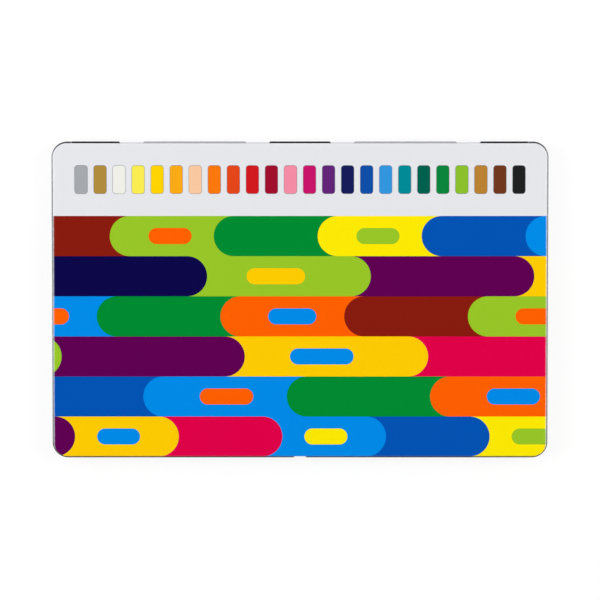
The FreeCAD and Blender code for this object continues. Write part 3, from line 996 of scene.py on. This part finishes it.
from_axis = np.abs((grid_x - groove_left) % groove_pitch - groove_pitch / 2)
over_field = (np.abs(grid_x) < -groove_left).astype(float)
round_depth = np.sqrt(np.maximum(groove_radius**2 - from_axis**2, 0))
groove_share = eased(np.clip(np.minimum(sheet_y - groove_y[0], groove_y[1] - sheet_y) / 0.6, 0, 1))
groove_height = tray_top - round_depth * groove_share * over_field
height = softer_low(np.full_like(grid_x, tray_top + 0.09), groove_height, 0.35)
height = softer_low(height, hollow(groove_left, -groove_left, *trough_y, 1.0), 0.3)
for pocket_x in pockets_x:
    height = softer_low(height, hollow(*pocket_x, *pocket_y, 2.5), 0.3)
height = np.minimum(height, tray_top)
print("tray heights in mm:", round(float(height.min()), 2), "to", round(float(height.max()), 2))

# %% Rim and corners of the tray
beyond_x = np.abs(grid_x) - (tray_half[0] - tray_corner)
beyond_y = np.abs(grid_y) - (tray_half[1] - tray_corner)
farther = np.maximum(beyond_x, beyond_y)
height = height - np.interp(tray_corner - farther, rim_runs, rim_falls)
in_corner = (beyond_x > 0) & (beyond_y > 0)
pull = np.where(in_corner, farther / np.maximum(np.hypot(beyond_x, beyond_y), 1e-9), 1.0)


def pulled_in(grid, beyond, half):
    """Brings the square corners of the grid onto round ones, along one axis."""
    return np.where(in_corner, np.sign(grid) * (half - tray_corner + beyond * pull), grid)


tray_plan_x = pulled_in(grid_x, beyond_x, tray_half[0])
tray_plan_y = pulled_in(grid_y, beyond_y, tray_half[1]) + tray_middle_y
tray_points = np.stack((tray_plan_x, tray_plan_y, height), axis=-1).reshape(-1, 3) * mm
columns = len(tray_x)
tray_faces = []
for row in range(len(tray_y) - 1):
    for column in range(columns - 1):
        corner = row * columns + column
        tray_faces.append((corner, corner + 1, corner + columns + 1, corner + columns))
tray_mesh = bpy.data.meshes.new("tray")
tray_mesh.from_pydata(tray_points.tolist(), [], tray_faces)
tray_mesh.shade_smooth()
tray = put_in_scene("tray", tray_mesh)
thickness = tray.modifiers.new("sheet", "SOLIDIFY")
thickness.thickness = tray_sheet * mm
thickness.offset = -1
print("tray faces:", len(tray_mesh.polygons))

# %% Tray plastic
tray_white = uneven_finish(
    "tray_plastic", (linear(226, 226, 222), linear(236, 236, 233)), (0.36, 0.48), specular_ior_level=0.45,
    tone=(45,), grain=(1800,), relief=(0.008 * mm, 0.3),
)
clad(tray, tray_white)
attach(tray, "base")
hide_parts("stick_tray")
print("tray plastic:", len(tray_white.tree.nodes), "nodes")

# %% [markdown]
# ## Eraser and its sleeve
# A block of soft white vinyl sits in a printed card sleeve that slides back as the block wears down.
# The block is cut from a slab, so its edges start crisp, and handling rounds them.
# Every point of a fine box is pulled onto a rounded box, and one corner of the bare end is worn more.
# The sleeve is a strip of card folded round the block:
# a rounded outline pulled along it, with the wall's thickness.

# %% Eraser block
block_low, block_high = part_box("eraser_block")
block_radius = 1.0 * mm
block_inset = Vector((block_radius, block_radius, block_radius))
edge_crowding = 2.2
wear_corner = Vector((block_high.x, block_low.y, block_high.z))
wear_reach = 4 * mm
wear_depth = Vector((-0.5, 0.5, -0.5)) * mm


def towards_edges(share):
    """Moves a grid line of a unit cube towards its edges, where the rounding is."""
    return 0.5 * math.copysign(1 - (1 - abs(2 * share)) ** edge_crowding, share)


block_mesh = bmesh.new()
bmesh.ops.create_cube(block_mesh, size=1.0)
bmesh.ops.subdivide_edges(block_mesh, edges=block_mesh.edges, cuts=15, use_grid_fill=True)
for vert in block_mesh.verts:
    shares = [towards_edges(value) + 0.5 for value in vert.co]
    place = Vector(low + share * (high - low) for low, share, high in zip(block_low, shares, block_high))
    core = Vector(np.clip(place, block_low + block_inset, block_high - block_inset))
    out = place - core
    rounded = core + out.normalized() * block_radius if out.length > 0 else place
    near_corner = max(0.0, 1 - (rounded - wear_corner).length / wear_reach)
    vert.co = rounded + wear_depth * near_corner**2
eraser = tidy_mesh(block_mesh, "eraser", 60)
vinyl = uneven_finish(
    "eraser_vinyl", (linear(226, 225, 220), linear(241, 240, 237)), (0.5, 0.62), tone=(130, 4.0),
    subsurface_weight=0.12, subsurface_radius=(0.002, 0.0018, 0.0015),
)
vinyl.bump(vinyl.noise(1500, detail=3.0), 0.01 * mm, 0.4)
clad(eraser, vinyl)
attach(eraser, "base")
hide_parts("eraser_block")
print("eraser faces:", len(eraser.data.polygons))

# %% Card sleeve
sleeve_low, sleeve_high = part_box("eraser_sleeve")
card = 0.35 * mm
fold = 0.6 * mm
edge_soft = 0.08 * mm


def folded_outline(inset):
    """The sleeve's outline across its length, at an inset from its outside, with rounded folds."""
    radius = fold - inset
    half_y = (sleeve_high.y - sleeve_low.y) / 2 - inset
    half_z = (sleeve_high.z - sleeve_low.z) / 2 - inset
    middle = ((sleeve_low.y + sleeve_high.y) / 2, (sleeve_low.z + sleeve_high.z) / 2)
    points = []
    for side_y, side_z, start in ((1, -1, 270), (1, 1, 0), (-1, 1, 90), (-1, -1, 180)):
        centre = (middle[0] + side_y * (half_y - radius), middle[1] + side_z * (half_z - radius))
        points += arc(centre, radius, start, start + 90, 6)
    return points


sleeve_mesh = bmesh.new()
loops = [(sleeve_low.x + edge_soft, 0), (sleeve_high.x - edge_soft, 0)]
loops += [(sleeve_high.x, edge_soft), (sleeve_high.x, card)]
loops += [(sleeve_low.x, card), (sleeve_low.x, edge_soft)]
sleeve_rings = [[sleeve_mesh.verts.new((x, y, z)) for y, z in folded_outline(inset)] for x, inset in loops]
for ring_number, ring in enumerate(sleeve_rings):
    following = sleeve_rings[(ring_number + 1) % len(sleeve_rings)]
    for face in ring_faces(sleeve_mesh, ring, following):
        face.material_index = 0 if ring_number == 0 else 1
sleeve = tidy_mesh(sleeve_mesh, "sleeve", 40)
print("sleeve faces:", len(sleeve.data.polygons))

# %% Card finishes
dot_pitch = 3.2
dot_radius = 0.62
border_width = 1.4
card_print = Finish("sleeve_card")
around = card_print.y + card_print.z
shifted = card_print.x + math.floor(around / dot_pitch) % 2.0 * (dot_pitch / 2)
dot_x = shifted % dot_pitch - dot_pitch / 2
dot_y = around % dot_pitch - dot_pitch / 2
dot = dot_x.hypot(dot_y) < dot_radius
from_end = (card_print.x - sleeve_low.x / mm).at_most(sleeve_high.x / mm - card_print.x)
border = from_end < border_width
rubbed = from_end + card_print.noise(900, detail=4.0) * 0.8 < 0.5
bare = dot.at_least(border).at_least(rubbed)
fibres = card_print.noise(1400, detail=3.0, stretch=(0.3, 1, 1))
card_print.set(
    base_color=card_print.mix(bare, linear(58, 122, 190), linear(236, 230, 214)),
    roughness=card_print.spread(fibres, 0.45, 0.6),
)
card_print.bump(fibres, 0.012 * mm, 0.4)
card_plain = Finish("card_core")
core_fibres = card_plain.noise(1100, detail=3.0)
card_plain.set(
    base_color=card_plain.clouded(core_fibres, linear(206, 198, 180), linear(224, 218, 203)),
    roughness=0.85,
)
clad(sleeve, card_print, card_plain)
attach(sleeve, "sleeve")
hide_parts("eraser_sleeve")
print("card print:", len(card_print.tree.nodes), "nodes")

# %% [markdown]
# ## Sharpener
# The sharpener is a small moulded wedge with a steel blade, held by one screw, and ribs on both sides.
# Its CAD solids are right but have knife edges, which no moulding or cut sheet has.
# So a copy of each is merged into whole faces and given a fine bevel.
# The ribs grow from a Geometry Nodes tree.


# %% Softened copies
def softened_copy(node_name, piece_name, width, finish):
    """A copy of a CAD node with merged faces and a fine bevel on its edges."""
    mesh = bmesh.new()
    mesh.from_mesh(frame["nodes"][node_name].data)
    bmesh.ops.remove_doubles(mesh, verts=mesh.verts, dist=0.0005 * mm)
    bmesh.ops.dissolve_limit(mesh, angle_limit=math.radians(1), verts=mesh.verts, edges=mesh.edges)
    piece = shaded_object(mesh, piece_name)
    clad(piece, finish)
    bevel = piece.modifiers.new("soft_edge", "BEVEL")
    bevel.width = width
    bevel.segments = 2
    bevel.limit_method = "ANGLE"
    bevel.angle_limit = math.radians(35)
    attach(piece, "base")
    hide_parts(node_name)
    return piece


moulded = uneven_finish(
    "sharpener_plastic", (linear(243, 190, 20), linear(250, 205, 40)), (0.28, 0.40),
    tone=(90,), grain=(1700,), relief=(0.01 * mm, 0.35),
    subsurface_weight=0.06, subsurface_radius=(0.002, 0.0012, 0.0005),
)
sharpener = softened_copy("sharpener_body", "sharpener", 0.18 * mm, moulded)
print("sharpener faces:", len(sharpener.data.polygons))

# %% Blade and screw
honed_width = 1.1
ground = Finish("blade_steel")
grinding = ground.noise(2400, stretch=(1, 0.05, 1))
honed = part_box("sharpener_blade")[1].y / mm - ground.y < honed_width
ground.set(
    base_color=ground.mix(honed, (0.62, 0.63, 0.65, 1), (0.78, 0.79, 0.80, 1)),
    metallic=1.0,
    roughness=honed * -0.14 + ground.spread(grinding, 0.28, 0.40),
)
ground.bump(grinding, 0.004 * mm, 0.5)
blade = softened_copy("sharpener_blade", "blade", 0.06 * mm, ground)
plated = uneven_finish(
    "screw_steel", ((0.58, 0.57, 0.54, 1), (0.70, 0.69, 0.66, 1)), (0.28, 0.38), metallic=1.0, tone=(900,),
)
screw = softened_copy("blade_screw", "screw", 0.08 * mm, plated)
print("blade and screw faces:", len(blade.data.polygons), len(screw.data.polygons))

# %% Rib tree
rib_inputs = {
    "Float": ("Pitch", "Grip Radius", "Rib Radius", "Rib Height", "Side"),
    "Int": ("Count",),
    "Vector": ("Middle",),
    "Material": ("Material",),
}
ribs, given = open_tree("grip_ribs", rib_inputs)
row = ribs.get("GeometryNodeMeshLine", {"Count": given["Count"]})
from_middle = ribs.get("GeometryNodeInputIndex") - (given["Count"] - 1.0) * 0.5
angle = from_middle * given["Pitch"] / given["Grip Radius"]
rib_x = angle.sine() * given["Grip Radius"]
rib_y = angle.cosine() * given["Grip Radius"] * given["Side"] * -1.0
rib_place = ribs.moved(given["Middle"], ribs.vector(rib_x, rib_y, 0.0))
placed_row = ribs.get("GeometryNodeSetPosition", {"Geometry": row, "Position": rib_place})
bead_shape = ribs.get("GeometryNodeMeshUVSphere", {"Segments": 10, "Rings": 14, "Radius": 1.0})
rib_scale = ribs.vector(given["Rib Radius"], given["Rib Radius"], given["Rib Height"] * 0.5)
standing = {"Points": placed_row, "Instance": bead_shape, "Scale": rib_scale}
standing_ribs = ribs.get("GeometryNodeInstanceOnPoints", standing)
smooth_ribs = ribs.get("GeometryNodeSetShadeSmooth", {"Geometry": standing_ribs})
close_tree(ribs, smooth_ribs, given["Material"])
print("rib tree:", len(ribs.tree.nodes), "nodes")

# %% Make the ribs
body_low, body_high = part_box("sharpener_body")
body_half_y = (body_high.y - body_low.y) / 2
grip_radius = 9.0 * mm
grip_depth = 1.2 * mm
grip_x = body_low.x + (3.2 * mm + body_high.x - body_low.x) / 2
rib_sizes = {
    "Pitch": 0.95 * mm, "Grip Radius": grip_radius + 0.05 * mm, "Rib Radius": 0.26 * mm,
    "Rib Height": 4.2 * mm, "Count": 8, "Material": moulded.material,
}
for side, side_name in ((1, "back"), (-1, "front")):
    grip_y = body_low.y + body_half_y + side * (body_half_y + grip_radius - grip_depth)
    middle = Vector((grip_x, grip_y, body_low.z + 2.9 * mm))
    grip = grow("grip_ribs_" + side_name, ribs, {**rib_sizes, "Side": side, "Middle": middle})
    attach(grip, "base")
print("ribs on each side:", rib_sizes["Count"])
